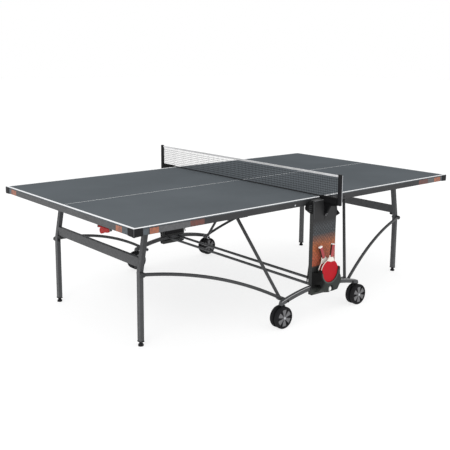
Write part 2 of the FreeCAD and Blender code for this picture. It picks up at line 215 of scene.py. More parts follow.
def finish(name, tone, rough, metal=0.0, grain=900, depth=0.0001, mottle=0.15, shine=0.3, worn_edge_highlight=0.0):
    """Painted, moulded or plated surface: broad mottling, fine grain and paler edges, partly wear and partly
    painted highlight.
    """
    paint, tree, bsdf, where = shader(name)
    broad = noise(tree, where, 7, 4)
    fine = noise(tree, where, grain, 2)
    colour = blend(tree, spread(tree, broad, 0.3, 0.7, 0, 1),
                   lighter(tone, 1 - mottle), lighter(tone, 1 + mottle))
    colour = blend(tree, spread(tree, fine, 0.35, 0.65, 0, 0.25), colour, lighter(tone, 1.25))
    # Paler edges from pointiness: partly wear, partly painted highlight where edges catch the light.
    if worn_edge_highlight:
        edge = tree.nodes.new("ShaderNodeNewGeometry").outputs["Pointiness"]
        patchy = noise(tree, where, 60, 4)
        high = spread(tree, edge, 0.505, 0.56, 0, worn_edge_highlight)
        edge_wear_and_highlight = tree.nodes.new("ShaderNodeMath")
        edge_wear_and_highlight.operation = "MULTIPLY"
        tree.links.new(high, edge_wear_and_highlight.inputs[0])
        tree.links.new(spread(tree, patchy, 0.3, 0.6, 0.35, 1), edge_wear_and_highlight.inputs[1])
        colour = blend(tree, edge_wear_and_highlight.outputs[0], colour, lighter(tone, 3.2))
    tree.links.new(colour, bsdf.inputs["Base Color"])
    tree.links.new(spread(tree, fine, 0.3, 0.7, rough - 0.07, rough + 0.07), bsdf.inputs["Roughness"])
    bsdf.inputs["Metallic"].default_value = metal
    bsdf.inputs["Specular IOR Level"].default_value = shine
    relief(tree, bsdf, fine, 0.6, depth)
    return paint


def axis_value(tree, where, axis, absolute=False):
    """One coordinate of a position."""
    split = tree.nodes.new("ShaderNodeSeparateXYZ")
    tree.links.new(where, split.inputs[0])
    value = split.outputs[axis]
    if absolute:
        node = tree.nodes.new("ShaderNodeMath")
        node.operation = "ABSOLUTE"
        tree.links.new(value, node.inputs[0])
        value = node.outputs[0]
    return value


def times(tree, first, second):
    """The product of two values."""
    node = tree.nodes.new("ShaderNodeMath")
    node.operation = "MULTIPLY"
    tree.links.new(first, node.inputs[0])
    if isinstance(second, float):
        node.inputs[1].default_value = second
    else:
        tree.links.new(second, node.inputs[1])
    return node.outputs[0]


def playing_surface():
    """Slate playing surface: fine matt grain, faint clouding and ball marks."""
    paint, tree, bsdf, where = shader("playing_surface")
    cloud = noise(tree, where, 1.6, 4)
    fine = noise(tree, where, 1400, 2)
    marks = noise(tree, where, 34, 6, 0.7)
    slate = (0.100, 0.112, 0.122)
    colour = blend(tree, spread(tree, cloud, 0.35, 0.65, 0, 1), lighter(slate, 0.93), lighter(slate, 1.07))
    colour = blend(tree, spread(tree, marks, 0.62, 0.78, 0, 0.10), colour, (0.17, 0.18, 0.19))
    colour = blend(tree, spread(tree, fine, 0.35, 0.65, 0, 0.12), colour, lighter(slate, 1.3))
    tree.links.new(colour, bsdf.inputs["Base Color"])
    tree.links.new(spread(tree, marks, 0.3, 0.75, 0.46, 0.56), bsdf.inputs["Roughness"])
    bsdf.inputs["Specular IOR Level"].default_value = 0.0
    relief(tree, bsdf, fine, 0.35, 0.00008)
    return paint


def column_print():
    """Side panel: dark top, a mesh print that turns to speckled orange, then a black base."""
    paint, tree, bsdf, where = shader("column_print")
    dark, slate, black = (0.019, 0.019, 0.020), (0.057, 0.063, 0.069), (0.034, 0.035, 0.035)
    orange, ember, speck = (0.54, 0.155, 0.045), (0.47, 0.108, 0.056), (0.11, 0.045, 0.028)
    height = axis_value(tree, where, "Z")
    outward = axis_value(tree, where, "Y", True)
    fine = noise(tree, where, 1200, 2)
    cells = tree.nodes.new("ShaderNodeTexVoronoi")
    cells.feature = "DISTANCE_TO_EDGE"
    cells.inputs["Scale"].default_value = 58
    cells.inputs["Randomness"].default_value = 0.3
    slanted = tree.nodes.new("ShaderNodeMapping")
    slanted.inputs["Rotation"].default_value = (0, math.radians(45), 0)
    tree.links.new(where, slanted.inputs["Vector"])
    tree.links.new(slanted.outputs["Vector"], cells.inputs["Vector"])
    mesh = spread(tree, cells.outputs["Distance"], 0.08, 0.22, 0.1, 1)
    speckle = spread(tree, noise(tree, where, 75, 4, 0.75), 0.45, 0.55, 0, 1)
    into_slate = spread(tree, height, 0.622, 0.585, 0, 1)
    print_mesh = blend(tree, times(tree, into_slate, mesh), dark, slate)
    warm = blend(tree, spread(tree, height, 0.48, 0.38, 0, 1), orange, ember)
    warm = blend(tree, times(tree, speckle, 0.45), warm, speck)
    warm = blend(tree, spread(tree, mesh, 0.1, 1, 0.5, 0), warm, speck)
    into_warm = spread(tree, height, 0.538, 0.450, 0, 1)
    colour = blend(tree, into_warm, print_mesh, warm)
    colour = blend(tree, spread(tree, height, 0.343, 0.333, 0, 1), colour, black)
    colour = blend(tree, spread(tree, outward, 0.8032, 0.8034, 0, 1), (0.030, 0.031, 0.031), colour)
    tree.links.new(colour, bsdf.inputs["Base Color"])
    tree.links.new(spread(tree, fine, 0.3, 0.7, 0.42, 0.56), bsdf.inputs["Roughness"])
    bsdf.inputs["Specular IOR Level"].default_value = 0.25
    relief(tree, bsdf, fine, 0.5, 0.00012)
    return paint


def pocket_shell(name, s):
    """Moulded cradle: green grey, with painted shade, near black, inside its high side wall."""
    paint, tree, bsdf, where = shader(name)
    fine = noise(tree, where, 1300, 2)
    broad = noise(tree, where, 9, 4)
    grey = blend(tree, spread(tree, broad, 0.3, 0.7, 0, 1), (0.032, 0.036, 0.033), (0.042, 0.046, 0.043))
    # Painted shade: near black on the high side wall, away from the column's middle and above about 0.19 m.
    across = spread(tree, axis_value(tree, where, "X"), s * -0.040, s * -0.060, 0, 1)
    above = spread(tree, axis_value(tree, where, "Z"), 0.185, 0.205, 0, 1)
    colour = blend(tree, times(tree, across, above), grey, (0.006, 0.006, 0.006))
    tree.links.new(colour, bsdf.inputs["Base Color"])
    tree.links.new(spread(tree, fine, 0.3, 0.7, 0.48, 0.60), bsdf.inputs["Roughness"])
    bsdf.inputs["Specular IOR Level"].default_value = 0.08
    relief(tree, bsdf, fine, 0.6, 0.0002)
    return paint


def strings():
    """Twisted black netting string."""
    paint, tree, bsdf, where = shader("net_string")
    twist = noise(tree, where, 900, 3, 0.7)
    colour = blend(tree, spread(tree, twist, 0.35, 0.65, 0, 1),
                   (0.006, 0.006, 0.007), (0.016, 0.017, 0.019))
    tree.links.new(colour, bsdf.inputs["Base Color"])
    bsdf.inputs["Roughness"].default_value = 0.8
    bsdf.inputs["Specular IOR Level"].default_value = 0.1
    relief(tree, bsdf, twist, 0.8, 0.0003)
    return paint


def tape():
    """White woven tape with its weave and faint soiling."""
    paint, tree, bsdf, where = shader("net_tape")
    warp = tree.nodes.new("ShaderNodeTexWave")
    warp.bands_direction = "Y"
    warp.inputs["Scale"].default_value = 380
    warp.inputs["Distortion"].default_value = 0.6
    tree.links.new(where, warp.inputs["Vector"])
    soiled = noise(tree, where, 9, 5)
    colour = blend(tree, spread(tree, soiled, 0.4, 0.75, 0, 1), (0.66, 0.66, 0.67), (0.52, 0.52, 0.52))
    colour = blend(tree, times(tree, warp.outputs["Fac"], 0.16), colour, (0.36, 0.36, 0.36))
    tree.links.new(colour, bsdf.inputs["Base Color"])
    tree.links.new(spread(tree, soiled, 0.3, 0.7, 0.7, 0.85), bsdf.inputs["Roughness"])
    bsdf.inputs["Sheen Weight"].default_value = 0.25
    relief(tree, bsdf, warp.outputs["Fac"], 0.6, 0.0004)
    return paint


def rubber_sheet(name, tone):
    """Racket rubber: pimples below a smooth sheet, scuffed a little."""
    paint, tree, bsdf, where = shader(name)
    dots = tree.nodes.new("ShaderNodeTexVoronoi")
    dots.inputs["Scale"].default_value = 520
    tree.links.new(where, dots.inputs["Vector"])
    scuffs = noise(tree, where, 30, 5, 0.7)
    colour = blend(tree, spread(tree, scuffs, 0.45, 0.75, 0, 0.5), tone, lighter(tone, 1.35))
    colour = blend(tree, spread(tree, dots.outputs["Distance"], 0.1, 0.5, 0, 0.18),
                   colour, lighter(tone, 0.55))
    tree.links.new(colour, bsdf.inputs["Base Color"])
    tree.links.new(spread(tree, scuffs, 0.3, 0.7, 0.42, 0.6), bsdf.inputs["Roughness"])
    bsdf.inputs["Specular IOR Level"].default_value = 0.08
    relief(tree, bsdf, dots.outputs["Distance"], 0.25, 0.0002)
    return paint


def plywood():
    """Pale blade wood with fine grain along its length."""
    paint, tree, bsdf, where = shader("blade_wood")
    stretch = tree.nodes.new("ShaderNodeMapping")
    stretch.inputs["Scale"].default_value = (1, 1, 0.06)
    tree.links.new(where, stretch.inputs["Vector"])
    grain = noise(tree, stretch.outputs["Vector"], 420, 5, 0.65)
    colour = blend(tree, spread(tree, grain, 0.35, 0.65, 0, 1), (0.86, 0.84, 0.79), (0.70, 0.66, 0.58))
    tree.links.new(colour, bsdf.inputs["Base Color"])
    tree.links.new(spread(tree, grain, 0.3, 0.7, 0.45, 0.6), bsdf.inputs["Roughness"])
    relief(tree, bsdf, grain, 0.3, 0.0002)
    return paint


def patch(name, tone, second):
    """Printed colour patch, blotched with a second tone and chipped a little."""
    paint, tree, bsdf, where = shader(name)
    blots = noise(tree, where, 55, 4, 0.6)
    chips = noise(tree, where, 420, 3, 0.7)
    colour = blend(tree, spread(tree, blots, 0.42, 0.62, 0, 1), tone, second)
    colour = blend(tree, spread(tree, chips, 0.6, 0.66, 0, 0.6), colour, (0.09, 0.092, 0.095))
    tree.links.new(colour, bsdf.inputs["Base Color"])
    tree.links.new(spread(tree, chips, 0.3, 0.7, 0.4, 0.55), bsdf.inputs["Roughness"])
    relief(tree, bsdf, chips, 0.3, 0.0001)
    return paint


STEEL = finish("powder_coat", (0.044, 0.045, 0.047), 0.48, grain=800, depth=0.00015, shine=0.25, worn_edge_highlight=0.35)
# Painted shade: the same powder coat as STEEL, made darker for the side aprons and the parts under the
# board.
SHADED_STEEL = finish("powder_coat_painted_shade", (0.034, 0.035, 0.037), 0.48, grain=800, depth=0.00015, shine=0.2, worn_edge_highlight=0.3)
PLASTIC = finish("black_plastic", (0.009, 0.009, 0.010), 0.52,
                 grain=1300, depth=0.0002, shine=0.12, worn_edge_highlight=0.15)
GREY_PLASTIC = finish("grey_plastic", (0.026, 0.027, 0.028), 0.48,
                      grain=1300, depth=0.0002, shine=0.2, worn_edge_highlight=0.2)
# Satin black plastic for the latch blocks and net arms; its tone is darker than the other black plastic as
# painted shade from the board's edge.
SHADED_SATIN_BLACK = finish("satin_black_painted_shade", (0.006, 0.006, 0.0065), 0.6,
                     grain=1300, depth=0.0002, shine=0.05, worn_edge_highlight=0.12)
POCKET_NEAR = pocket_shell("pocket_plastic_near", 1)
POCKET_FAR = pocket_shell("pocket_plastic_far", -1)
GREEN_GREY = finish("green_grey_plastic", (0.042, 0.052, 0.046), 0.48,
                    grain=1300, depth=0.0002, shine=0.2, worn_edge_highlight=0.2)
RED = finish("red_plastic", (0.28, 0.018, 0.018), 0.5, grain=1100, depth=0.00015, mottle=0.1, shine=0.1)
TYRE = finish("tyre", (0.014, 0.014, 0.015), 0.80, grain=700, depth=0.0004, mottle=0.25, shine=0.08)
SPOKE = finish("wheel_cover", (0.13, 0.13, 0.135), 0.42, grain=900, depth=0.0001, mottle=0.1)
# Pale paint for the beams' edge strips, a painted highlight.
HIGHLIGHT_STRIP = finish("highlight_strip_paint", (0.50, 0.50, 0.51), 0.45, grain=900, depth=0.0001, mottle=0.1)
ZINC = finish("zinc", (0.50, 0.51, 0.53), 0.30, metal=0.9, grain=500, depth=0.0001, mottle=0.12)
BLACK_BOLT = finish("black_bolt", (0.012, 0.012, 0.013), 0.35, metal=0.4, grain=900, depth=0.0001)
LINE = finish("line_paint", (0.76, 0.77, 0.78), 0.5, grain=900, depth=0.00005, mottle=0.04)
GRIP = finish("grip", (0.36, 0.055, 0.060), 0.45, grain=600, depth=0.0003, mottle=0.15)
GRIP_SIDE = finish("grip_side", (0.045, 0.018, 0.014), 0.5, grain=600, depth=0.0003, mottle=0.2)
WHITE_CAP = finish("white_cap", (0.85, 0.84, 0.82), 0.4, grain=900, depth=0.0001, mottle=0.05)
BALL = finish("ball", (0.80, 0.80, 0.78), 0.45, grain=1500, depth=0.00006, mottle=0.04)
SURFACE = playing_surface()
PRINT = column_print()
STRING = strings()
TAPE = tape()
RED_RUBBER = rubber_sheet("red_rubber", (0.44, 0.012, 0.020))
DARK_RUBBER = rubber_sheet("dark_rubber", (0.055, 0.060, 0.052))
WOOD = plywood()
BLUE_PATCH = patch("blue_grey_patch", (0.062, 0.078, 0.092), (0.045, 0.054, 0.062))
ORANGE_PATCH = patch("orange_patch", (0.34, 0.115, 0.055), (0.20, 0.070, 0.050))
RUST_PATCH = patch("rust_patch", (0.13, 0.038, 0.028), (0.075, 0.034, 0.028))
GREY_PATCH = patch("grey_patch", (0.088, 0.090, 0.095), (0.068, 0.070, 0.074))


# ---- carried-over nodes ----------------------------------------------------

def dress(node, paint, edge=0.0015):
    """Give a node its material, and ease its sharp edges."""
    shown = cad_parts[node]
    shown.data.materials.clear()
    shown.data.materials.append(paint)
    shown.modifiers.new("weld", "WELD").merge_threshold = 0.00002
    if edge:
        ease = shown.modifiers.new("ease", "BEVEL")
        ease.width = edge
        ease.segments = 2
        ease.limit_method = "ANGLE"
        ease.angle_limit = math.radians(40)
        ease.harden_normals = True
    return shown


def dress_nodes():
    """Materials of every node whose own shape is shown."""
    for side in SIDES:
        dress(f"board_{side}", SURFACE, 0.0008)
        dress(f"side_aprons_{side}", SHADED_STEEL, 0.002)
        dress(f"end_apron_{side}", STEEL, 0.002)
        dress(f"inner_rail_{side}", SHADED_STEEL, 0.0015)
        dress(f"leg_brackets_{side}", SHADED_STEEL, 0.001)
        dress(f"link_hangers_{side}", SHADED_STEEL, 0.0008)
        dress(f"leg_tubes_{side}", STEEL, 0.003)
        dress(f"leg_caps_{side}", PLASTIC, 0.0015)
        dress(f"crossbar_{side}", STEEL, 0.002)
        dress(f"straight_links_{side}", STEEL, 0.0008)
        dress(f"curved_links_{side}", STEEL, 0.0008)
        dress(f"guide_shoes_{side}", PLASTIC, 0.0008)
    dress("side_beams", STEEL, 0.003)
    dress("cross_tubes", STEEL, 0.0)
    dress("link_pivots", ZINC, 0.001)
    dress("column_near", PRINT, 0.0012)
    dress("column_far", PRINT, 0.0012)
    dress("guide_tracks", PLASTIC, 0.0005)
    dress("pocket_near", POCKET_NEAR, 0.0018)
    dress("pocket_far", POCKET_FAR, 0.0018)
    dress("latch_blocks", SHADED_SATIN_BLACK, 0.003)
    dress("net_arms", SHADED_SATIN_BLACK, 0.0015)
    dress("net_cord", PLASTIC, 0.0)
    for corner in CORNERS:
        dress(f"foot_{corner}", PLASTIC, 0.0)
        dress(f"fork_{corner}", PLASTIC, 0.001)


# ---- half tops -------------------------------------------------------------

LINE_WIDE = 0.018
CENTRE_LINE = 0.003
LINE_LIFT = 0.0002


def painted_lines(side, s):
    """White lines along the three outer edges and down the middle of a half."""
    bm = bmesh.new()
    strips = [
        ((GAP, HALF_WIDTH - LINE_WIDE), (HALF_LENGTH, HALF_WIDTH)),
        ((GAP, -HALF_WIDTH), (HALF_LENGTH, LINE_WIDE - HALF_WIDTH)),
        ((HALF_LENGTH - LINE_WIDE, LINE_WIDE - HALF_WIDTH), (HALF_LENGTH, HALF_WIDTH - LINE_WIDE)),
        ((GAP, -CENTRE_LINE / 2), (HALF_LENGTH - LINE_WIDE, CENTRE_LINE / 2)),
    ]
    for (x0, y0), (x1, y1) in strips:
        low, high = sorted((s * x0, s * x1)), sorted((y0, y1))
        add_block(bm, (low[0], high[0], TOP), (low[1], high[1], TOP + LINE_LIFT))
    return piece(f"painted_lines_{side}", bm, f"half_{side}", LINE)


def rail_patches(side, s):
    """Printed colour patches near the corners of the rails."""
    bm = bmesh.new()
    tones = [BLUE_PATCH, ORANGE_PATCH, GREY_PATCH, RUST_PATCH]
    high, low = TOP - 0.008, RAIL_BOTTOM + 0.0015
    long_run = [(0.056, 0.094, 0), (0.097, 0.153, 1), (0.153, 0.356, 2), (0.356, 0.452, 3)]
    short_run = [(0.056, 0.076, 0), (0.077, 0.154, 1), (0.154, 0.230, 2), (0.230, 0.341, 3)]
    end_runs = {1: [(0.056, 0.108, 0), (0.110, 0.168, 1)], -1: [(0.056, 0.088, 0), (0.090, 0.160, 1)]}
    for flip, run in ((1, long_run), (-1, short_run)):
        for start, stop, tone in run:
            before = set(bm.faces)
            xs = sorted((s * (HALF_LENGTH - start), s * (HALF_LENGTH - stop)))
            ys = sorted((s * flip * HALF_WIDTH, s * flip * (HALF_WIDTH + 0.0003)))
            add_block(bm, (xs[0], ys[0], low), (xs[1], ys[1], high))
            for face in set(bm.faces) - before:
                face.material_index = tone
    for flip, run in end_runs.items():
        for start, stop, tone in run:
            before = set(bm.faces)
            ys = sorted((s * flip * (HALF_WIDTH - start), s * flip * (HALF_WIDTH - stop)))
            xs = sorted((s * HALF_LENGTH, s * (HALF_LENGTH + 0.0003)))
            add_block(bm, (xs[0], ys[0], low), (xs[1], ys[1], high))
            for face in set(bm.faces) - before:
                face.material_index = tone
    return piece(f"rail_patches_{side}", bm, f"half_{side}", tones)


def corner_guards(side, s):
    """Moulded guard wrapped round each outer corner, deeper at the corner itself."""
    bm = bmesh.new()
    reach, thick, radius = 0.054, 0.002, 0.012
    for flip in (1, -1):
        def at(out_x, out_y, z):
            return Vector((s * (HALF_LENGTH + out_x), flip * (HALF_WIDTH + out_y), z))

        path = [(-reach, thick)] + [(-radius + dx, -radius + dy) for dx, dy in
                                    arc((0, 0), radius + thick, 90, 0, 8)] + [(thick, -reach)]
        inner = [(-reach, 0.0)] + [(-radius + dx, -radius + dy) for dx, dy in
                                   arc((0, 0), radius, 90, 0, 8)] + [(0.0, -reach)]
        top = TOP - 0.0008
        rings = []
        for k, (outer, back) in enumerate(zip(path, inner)):
            middle = 1 - abs(k - (len(path) - 1) / 2) / ((len(path) - 1) / 2)
            bottom = RAIL_BOTTOM - 0.001 - 0.004 * min(1.0, middle * 1.6)
            rings.append([bm.verts.new(at(*outer, top)), bm.verts.new(at(*outer, bottom)),
                          bm.verts.new(at(*back, bottom)), bm.verts.new(at(*back, top))])
        for here, there in zip(rings, rings[1:]):
            for k in range(4):
                bm.faces.new((here[k], here[(k + 1) % 4], there[(k + 1) % 4], there[k]))
        bm.faces.new(rings[0][::-1])
        bm.faces.new(rings[-1])
        under = [at(-reach, 0, RAIL_BOTTOM - 0.002), at(-0.004, 0, RAIL_BOTTOM - 0.004),
                 at(0, -0.004, RAIL_BOTTOM - 0.004), at(0, -reach, RAIL_BOTTOM - 0.002),
                 at(-0.020, -reach, RAIL_BOTTOM - 0.002), at(-reach, -0.020, RAIL_BOTTOM - 0.002)]
        lower = [bm.verts.new(p) for p in under]
        upper = [bm.verts.new(p + Vector((0, 0, 0.0015))) for p in under]
        bm.faces.new(lower)
        bm.faces.new(upper[::-1])
        for k in range(len(under)):
            nxt = (k + 1) % len(under)
            bm.faces.new((lower[k], lower[nxt], upper[nxt], upper[k]))
    made = piece(f"corner_guards_shaped_{side}", bm, f"half_{side}", PLASTIC, 50)
    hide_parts(f"corner_guards_{side}")
    return made


def rail_bolts(side, s):
    """Bolt heads on the long rails and washers at the leg brackets."""
    bm = bmesh.new()
    for y in (-1, 1):
        bolt_x, bolt_z = s * 0.224, 0.733
        add_rod(bm, (bolt_x, y * HALF_WIDTH, bolt_z), (bolt_x, y * (HALF_WIDTH + 0.0022), bolt_z), 0.0058, 6)
        for edge in (0.459, 0.505):
            add_rod(bm, (s * HINGE_X, y * edge, HINGE_Z),
                    (s * HINGE_X, y * (edge - 0.003), HINGE_Z), 0.009, 6)
    paint = ZINC if side == "left" else BLACK_BOLT
    return piece(f"rail_bolts_{side}", bm, f"half_{side}", paint)


def under_frame(side, s):
    """Stiffening channels under a half's board."""
    bm = bmesh.new()
    under = board_low.z
    for x in (0.30, 0.60, 0.90):
        for y in (-1, 1):
            low, high = sorted((y * 0.03, y * 0.455))
            add_block(bm, (s * x - 0.012, low, under - 0.016), (s * x + 0.012, high, under), 0.002)
    near, far = sorted((s * 0.05, s * 1.34))
    add_block(bm, (near, -0.012, under - 0.016), (far, 0.012, under), 0.002)
    return piece(f"under_frame_{side}", bm, f"half_{side}", SHADED_STEEL)


def release_handle(side, s):
    """Red pull handle under the end rail: a barrel, a long and a short rounded lobe."""
    low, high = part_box(f"release_lever_{side}")
    first, last = min(abs(low.y), abs(high.y)) + 0.004, max(abs(low.y), abs(high.y)) - 0.012
    foot, root = low.z, high.z - 0.008
    outline = eased([(first, root), (last, root), (last, root - 0.012), (last - 0.012, root - 0.019),
                     (last - 0.042, root - 0.022), (last - 0.058, root - 0.028),
                     (last - 0.066, foot + 0.004), (last - 0.080, foot), (first + 0.016, foot),
                     (first + 0.002, foot + 0.006)])
    bm = bmesh.new()
    rows = []
    for step in range(7):
        t = step / 6
        swell = 0.93 + 0.07 * math.sin(math.pi * t)
        middle_y, middle_z = (first + last) / 2, (foot + root) / 2
        rows.append([bm.verts.new((s * (1.3485 + 0.011 * t), s * (middle_y + (y - middle_y) * swell),
                                   middle_z + (z - middle_z) * swell)) for y, z in outline])
    for here, there in zip(rows, rows[1:]):
        for k in range(len(outline)):
            nxt = (k + 1) % len(outline)
            bm.faces.new((here[k], here[nxt], there[nxt], there[k]))
    bm.faces.new(rows[0][::-1])
    bm.faces.new(rows[-1])
    add_rod(bm, (s * 1.356, low.y, 0.708), (s * 1.356, high.y, 0.708), 0.0062, 20)
    made = piece(f"release_handle_{side}", bm, f"lever_{side}", RED, 40)
    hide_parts(f"release_lever_{side}")
    return made


# ---- legs and links --------------------------------------------------------

def knee_bolts(side, s):
    """Bolts, washers and spacer lugs where the curved links meet the knees."""
    bm = bmesh.new()
    for y in (-1, 1):
        add_rod(bm, (s * KNEE_X, y * 0.4995, KNEE_Z), (s * KNEE_X, y * 0.4975, KNEE_Z), 0.011, 20)
        add_rod(bm, (s * KNEE_X, y * 0.4665, KNEE_Z), (s * KNEE_X, y * 0.4600, KNEE_Z), 0.010, 6)
        low, high = sorted((y * 0.4665, y * 0.440))
        add_plate(bm, [(1.142, 0.4525), (1.160, 0.4525), (1.160, 0.446), (1.142, 0.436)], low, high,
                  lambda u, v, w: Vector((s * u, w, v)))
    return piece(f"knee_bolts_{side}", bm, f"legs_{side}", BLACK_BOLT)


def link_caps(side, s):
    """Rounded covers over the curved links' upper eyes."""
    bm = bmesh.new()
    for y in (-1, 1):
        centre = Vector((s * KNEE_X, y * 0.520, KNEE_Z))
        profile = [(0.0, 0.006), (0.006, 0.0056), (0.011, 0.0040), (0.0142, 0.0),
                   (0.0142, -0.019), (0.0, -0.019)]
        add_turned(bm, [(r + 0.00001, a) for r, a in profile], centre, (0, y, 0), 28)
    return piece(f"link_caps_{side}", bm, f"curved_{side}", GREY_PLASTIC, 60)


def pivot_bolts():
    """Lock nuts on the link pivots, inside the beams and on their outer faces."""
    bm = bmesh.new()
    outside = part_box("side_beams")[1].y
    for sx, sy in CORNERS.values():
        x = sx * PIVOT_X
        add_rod(bm, (x, sy * 0.704, PIVOT_Z), (x, sy * 0.698, PIVOT_Z), 0.009, 6)
        add_rod(bm, (x, sy * outside, PIVOT_Z), (x, sy * (outside + 0.003), PIVOT_Z), 0.008, 6)
    return piece("pivot_bolts", bm, "carriage", BLACK_BOLT)


def beam_highlight_strips():
    """Bright edge strip along the outer shoulder of each arched beam, a painted highlight on its top outer
    edge.
    """
    bm = bmesh.new()
    half, crown, drop = 0.350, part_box("side_beams")[1].z, 0.052
    radius = (half * half + drop * drop) / (2 * drop)
    for sy in (-1, 1):
        rings = []
        for step in range(41):
            x = -half + 2 * half * step / 40
            z = crown - radius + math.sqrt(radius * radius - x * x)
            y = sy * 0.7958
            rings.append([bm.verts.new((x, y + sy * dy, z + dz)) for dy, dz in
                          ((-0.0020, -0.0004), (-0.0010, 0.0010), (0.0010, 0.0006), (0.0016, -0.0020))])
        for here, there in zip(rings, rings[1:]):
            for k in range(4):
                bm.faces.new((here[k], here[(k + 1) % 4], there[(k + 1) % 4], there[k]))
        bm.faces.new(rings[0])
        bm.faces.new(rings[-1][::-1])
    return piece("beam_highlight_strips", bm, "carriage", HIGHLIGHT_STRIP)


# ---- carriage --------------------------------------------------------------

def column_trim(place, sy):
    """Raised rim, notch ribs and screws of one side column, and lighter bars along its top edge as painted
    highlight.
    """
    bm = bmesh.new()
    face = sy * column_high.y
    half, top = column_high.x, column_high.z
    for sx in (-1, 1):
        xs = sorted((sx * (half - 0.004), sx * (half - 0.013)))
        ys = sorted((face - sy * 0.001, face + sy * 0.0016))
        add_block(bm, (xs[0], ys[0], 0.640), (xs[1], ys[1], top - 0.010), 0.0008)
        xs = sorted((sx * 0.0022, sx * 0.0038))
        add_block(bm, (xs[0], ys[0], 0.628), (xs[1], ys[1], 0.656), 0.0004)
        for z in (0.700, 0.180):
            x = sx * (half - 0.022)
            add_rod(bm, (x, face, z), (x, face + sy * 0.0015, z), 0.0042, 16)
    plain = set(bm.faces)
    # Lighter grey bars along the top edge of the face, as painted highlight; they take the second material.
    ys = sorted((face - sy * 0.001, face + sy * 0.0012))
    for sx in (-1, 1):
        xs = sorted((sx * 0.016, sx * (half - 0.010)))
        add_block(bm, (xs[0], ys[0], top - 0.005), (xs[1], ys[1], top - 0.0008), 0.0008)
    for shown in set(bm.faces) - plain:
        shown.material_index = 1
    return piece(f"column_trim_{place}", bm, "carriage", [GREY_PLASTIC, SPOKE])


def latch_ribs():
    """Grip ribs on the outer faces of the latch housings."""
    bm = bmesh.new()
    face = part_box("latch_blocks")[1].y
    for sx, sy in ((-1, -1), (1, 1)):
        for rib in range(4):
            z = 0.688 + rib * 0.011
            xs = sorted((sx * 0.113, sx * 0.139))
            ys = sorted((sy * (face - 0.0004), sy * (face + 0.0007)))
            add_block(bm, (xs[0], ys[0], z), (xs[1], ys[1], z + 0.004), 0.0003, 1)
    return piece("latch_ribs", bm, "carriage", GREY_PLASTIC, 30)


def mouth_rim(place, sy):
    """Raised rim round the mouth of the racket pocket."""
    low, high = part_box("racket_front_blade")
    middle_x, middle_z = (low.x + high.x) / 2, (low.z + high.z) / 2 + 0.002
    face = max(abs(v.y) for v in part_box(f"pocket_{place}"))
    bm = bmesh.new()
    section = [(0.0692, -0.0010), (0.0692, 0.0010), (0.0705, 0.0018), (0.0750, 0.0014), (0.0775, -0.0010)]
    rings = []
    for x, z in arc((0, 0), 1, 182, 358, 44):
        rings.append([bm.verts.new((middle_x + x * r, sy * (face + out), middle_z + z * r))
                      for r, out in section])
    for here, there in zip(rings, rings[1:]):
        for k in range(len(section)):
            nxt = (k + 1) % len(section)
            bm.faces.new((here[k], here[nxt], there[nxt], there[k]))
    bm.faces.new(rings[0])
    bm.faces.new(rings[-1][::-1])
    return piece(f"mouth_rim_{place}", bm, "carriage", GREEN_GREY, 40)


# ---- net -------------------------------------------------------------------

STRING_RADIUS = 0.0010
NET_PITCH = 0.0145


def net():
    """Knotted square netting between the posts, cut flat to the cloth's size."""
    bm = bmesh.new()
    width, height = net_high.y - net_low.y, net_high.z - net_low.z
    columns, rows = round(width / NET_PITCH), round(height / NET_PITCH)

    def string(start, end, across, steps):
        rings = []
        for step in range(steps + 1):
            centre = Vector(start).lerp(Vector(end), step / steps)
            rings.append([bm.verts.new(centre + off) for off in
                          (across * STRING_RADIUS, Vector((STRING_RADIUS, 0, 0)),
                           -across * STRING_RADIUS, Vector((-STRING_RADIUS, 0, 0)))])
        for here, there in zip(rings, rings[1:]):
            for k in range(4):
                bm.faces.new((here[k], here[(k + 1) % 4], there[(k + 1) % 4], there[k]))
        bm.faces.new(rings[0])
        bm.faces.new(rings[-1][::-1])

    for k in range(columns + 1):
        y = net_low.y + STRING_RADIUS + (width - 2 * STRING_RADIUS) * k / columns
        string((0, y, net_low.z), (0, y, net_high.z), Vector((0, 1, 0)), 1)
    for k in range(rows):
        z = net_low.z + STRING_RADIUS + (height - 2 * STRING_RADIUS) * k / rows
        string((0, net_low.y, z), (0, net_high.y, z), Vector((0, 0, 1)), 1)
    for k in range(1, columns):
        for row in range(1, rows):
            y = net_low.y + STRING_RADIUS + (width - 2 * STRING_RADIUS) * k / columns
            z = net_low.z + STRING_RADIUS + (height - 2 * STRING_RADIUS) * row / rows
            size = STRING_RADIUS * 1.7
            tips = [bm.verts.new((0 + dx * size, y + dy * size, z + dz * size)) for dx, dy, dz in
                    ((1, 0, 0), (-1, 0, 0), (0, 1, 0), (0, -1, 0), (0, 0, 1), (0, 0, -1))]
            for a in (0, 1):
                for b in (2, 3):
                    for c in (4, 5):
                        bm.faces.new((tips[a], tips[b], tips[c]))
    made = piece("netting", bm, "carriage", STRING, 60)
    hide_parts("net_cloth")
    return made


def net_band():
    """Folded white tape along the net's top, narrowing to its lower edge."""
    bm = bmesh.new()
    half_x, low, high = band_high.x, band_low.z, band_high.z
    section = [(-half_x * 0.55, low), (half_x * 0.55, low), (half_x * 0.7, low + 0.003),
               (half_x, high - 0.005), (half_x, high - 0.003),
               (half_x * 0.55, high - 0.0004), (-half_x * 0.55, high - 0.0004),
               (-half_x, high - 0.003), (-half_x, high - 0.005), (-half_x * 0.7, low + 0.003)]
    rings = []
    steps = 120
    for step in range(steps + 1):
        y = band_low.y + (band_high.y - band_low.y) * step / steps
        wave = 0.0003 * math.sin(step * 0.9)
        rings.append([bm.verts.new((x + wave, y, z)) for x, z in section])
    for here, there in zip(rings, rings[1:]):
        for k in range(len(section)):
            nxt = (k + 1) % len(section)
            bm.faces.new((here[k], here[nxt], there[nxt], there[k]))
    bm.faces.new(rings[0])
    bm.faces.new(rings[-1][::-1])
    made = piece("net_tape", bm, "carriage", TAPE, 60)
    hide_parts("net_band")
    return made


